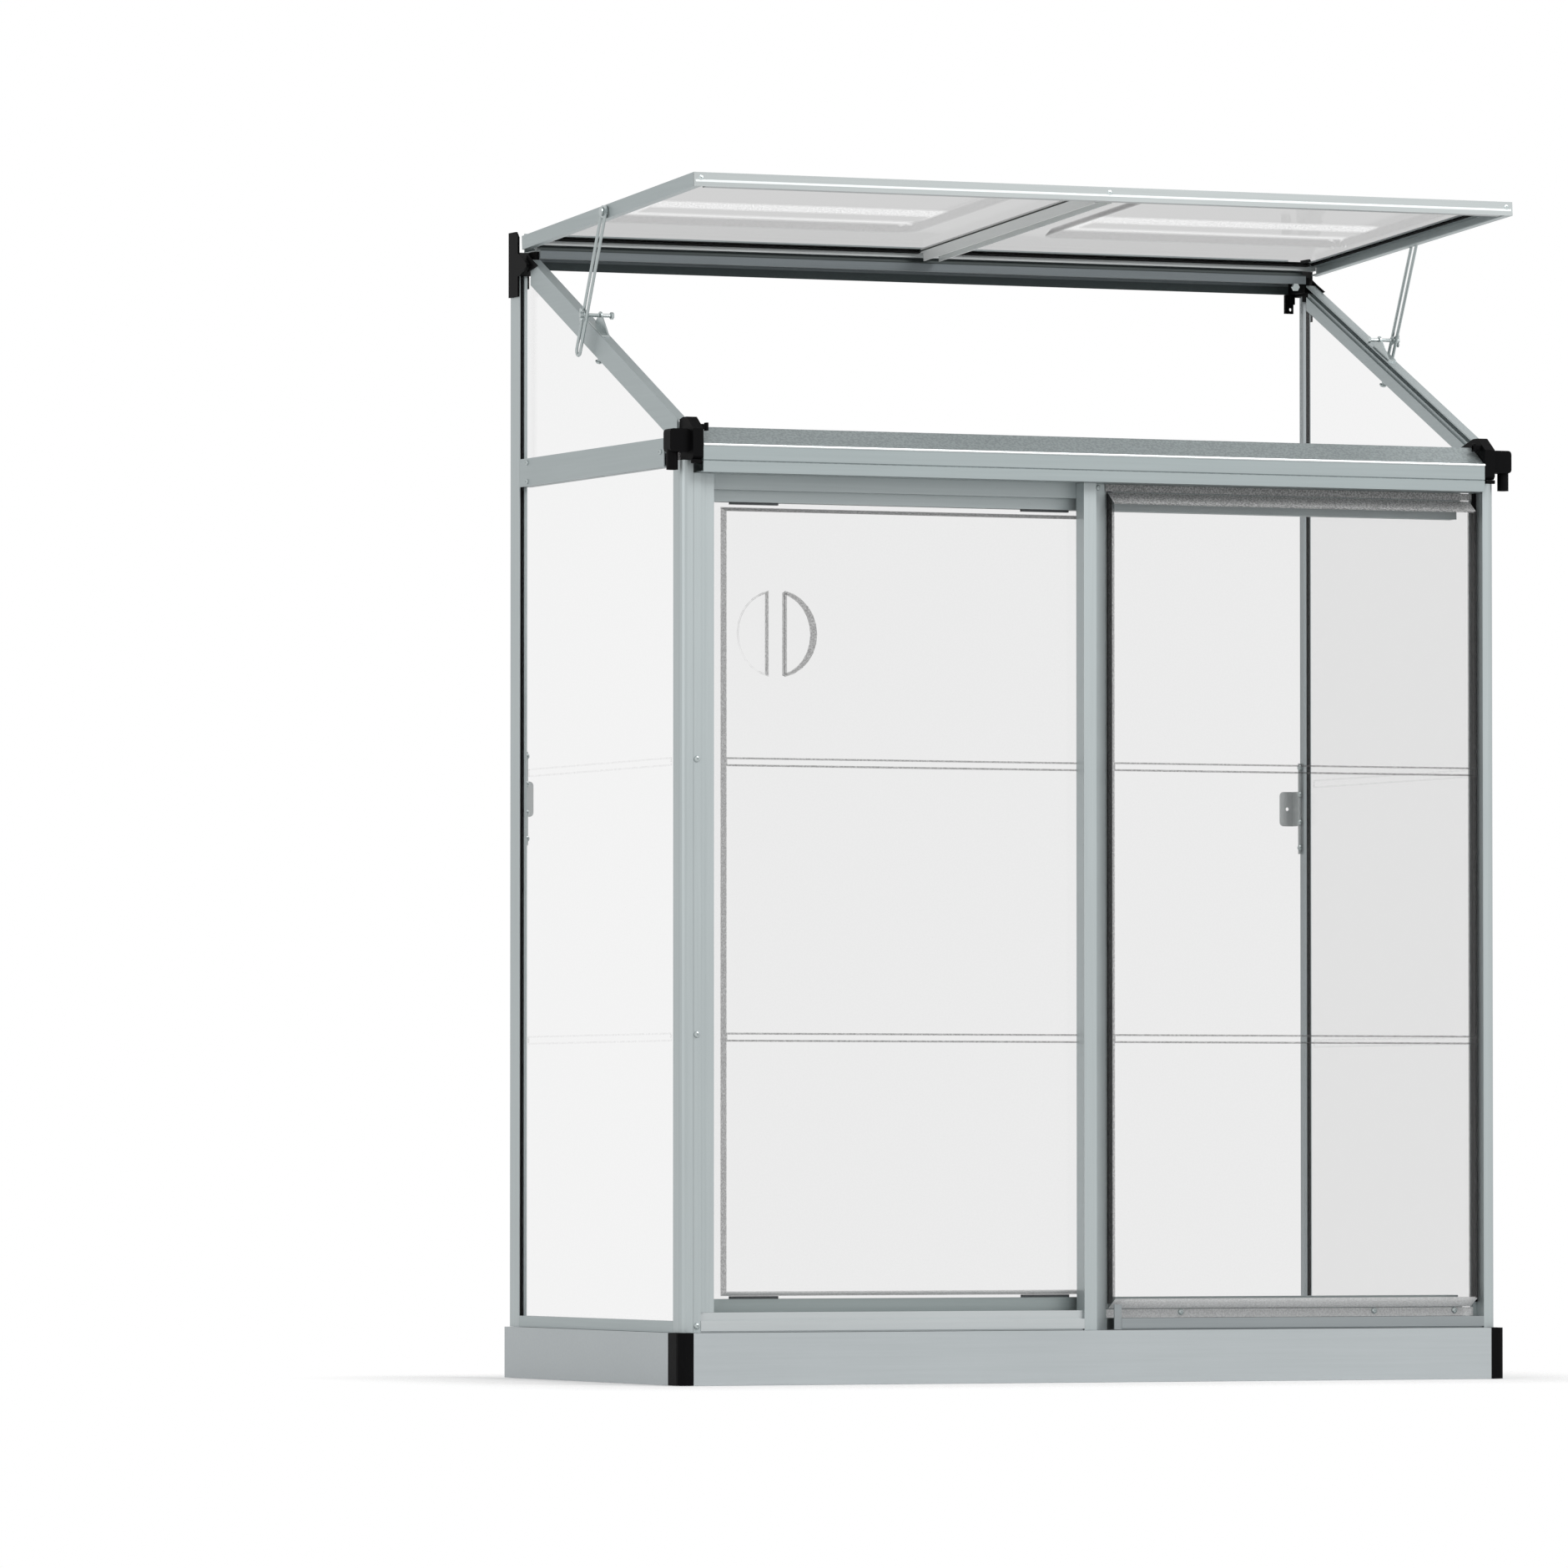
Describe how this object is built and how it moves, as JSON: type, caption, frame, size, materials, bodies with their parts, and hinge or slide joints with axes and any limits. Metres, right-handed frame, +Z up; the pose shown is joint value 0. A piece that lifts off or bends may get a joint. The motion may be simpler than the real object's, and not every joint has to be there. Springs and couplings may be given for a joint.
{
  "type": "lean-to greenhouse",
  "caption": "Wall-side greenhouse with an aluminium frame, clear formed panels, a propped roof lid and a sliding door",
  "frame": {"origin": "centre of the footprint, on the ground", "axes": "+X along the wall to the right seen from the front, +Y towards the wall, +Z up"},
  "size_m": [1.258, 0.661, 1.6201],
  "materials": {
    "frame_aluminium": "mill aluminium extrusion, satin",
    "edge_aluminium": "pale satin aluminium extrusion",
    "base_sheet": "galvanised sheet, satin",
    "black_plastic": "moulded black plastic, satin",
    "seal_rubber": "matt black gasket",
    "zinc_steel": "zinc plated",
    "clear_panel": "clear formed polycarbonate sheet"
  },
  "bodies": {
    "frame": {"base_front": "base_sheet", "base_side_left": "base_sheet", "base_side_right": "base_sheet", "base_corner_left": "black_plastic", "base_corner_right": "black_plastic", "front_post_left": "edge_aluminium", "front_post_right": "edge_aluminium", "centre_post": "edge_aluminium", "rear_post_left": "frame_aluminium", "rear_post_right": "frame_aluminium", "rear_post_seal_left": "seal_rubber", "rear_post_seal_right": "seal_rubber", "door_jamb": "edge_aluminium", "side_rail_left": "frame_aluminium", "side_rail_right": "frame_aluminium", "mid_rail_left": "frame_aluminium", "mid_rail_right": "frame_aluminium", "side_panel_left": "clear_panel", "side_panel_right": "clear_panel", "gable_panel_left": "clear_panel", "gable_panel_right": "clear_panel", "rafter_left": "edge_aluminium", "rafter_right": "edge_aluminium", "ridge_beam": "frame_aluminium", "ridge_connector_left": "black_plastic", "ridge_connector_right": "black_plastic", "eave_rail": "edge_aluminium", "gutter_head_left": "black_plastic", "gutter_head_right": "black_plastic", "top_track": "frame_aluminium", "bottom_track": "frame_aluminium", "sill_left": "edge_aluminium", "sill_right": "edge_aluminium", "fixed_panel": "clear_panel", "fixed_panel_seal_left": "seal_rubber", "fixed_panel_seal_right": "seal_rubber", "wall_bracket_left": "zinc_steel", "wall_bracket_right": "zinc_steel", "stay_rest_left": "zinc_steel", "stay_rest_right": "zinc_steel", "stay_bolt_left": "zinc_steel", "stay_bolt_right": "zinc_steel"},
    "door": {"door_panel": "clear_panel", "door_glide_top_left": "seal_rubber", "door_glide_top_right": "seal_rubber", "door_glide_bottom_left": "seal_rubber", "door_glide_bottom_right": "seal_rubber"},
    "lid": {"lid_front_rail": "edge_aluminium", "lid_rear_rail": "frame_aluminium", "lid_side_rail_left": "frame_aluminium", "lid_side_rail_right": "frame_aluminium", "lid_mid_bar": "frame_aluminium", "lid_panel_left": "clear_panel", "lid_panel_right": "clear_panel", "lid_seal_left": "seal_rubber", "lid_seal_right": "seal_rubber", "stay_pivot_left": "zinc_steel", "stay_pivot_right": "zinc_steel"},
    "stay_left_body": {"stay_left": "zinc_steel"},
    "stay_right_body": {"stay_right": "zinc_steel"}
  },
  "joints": [
    {"name": "door_slide", "type": "slide", "parent": "frame", "child": "door", "axis": [1, 0, 0], "range_m": [0, 0.53]},
    {"name": "lid_hinge", "type": "hinge", "parent": "frame", "child": "lid", "pos_m": [0, 0.28726, 1.569], "axis": [1, 0, 0], "range_deg": [0, 29]},
    {"name": "stay_left_pivot", "type": "hinge", "parent": "lid", "child": "stay_left_body", "pos_m": [-0.6145, -0.02322, 1.58712], "axis": [1, 0, 0], "range_deg": [0, 59.7]},
    {"name": "stay_right_pivot", "type": "hinge", "parent": "lid", "child": "stay_right_body", "pos_m": [0.6145, -0.02322, 1.58712], "axis": [1, 0, 0], "range_deg": [0, 59.7]}
  ],
  "couplings": [
    {"joint": "stay_left_pivot", "follows": "lid_hinge", "ratio": 2.04},
    {"joint": "stay_right_pivot", "follows": "lid_hinge", "ratio": 2.04}
  ]
}
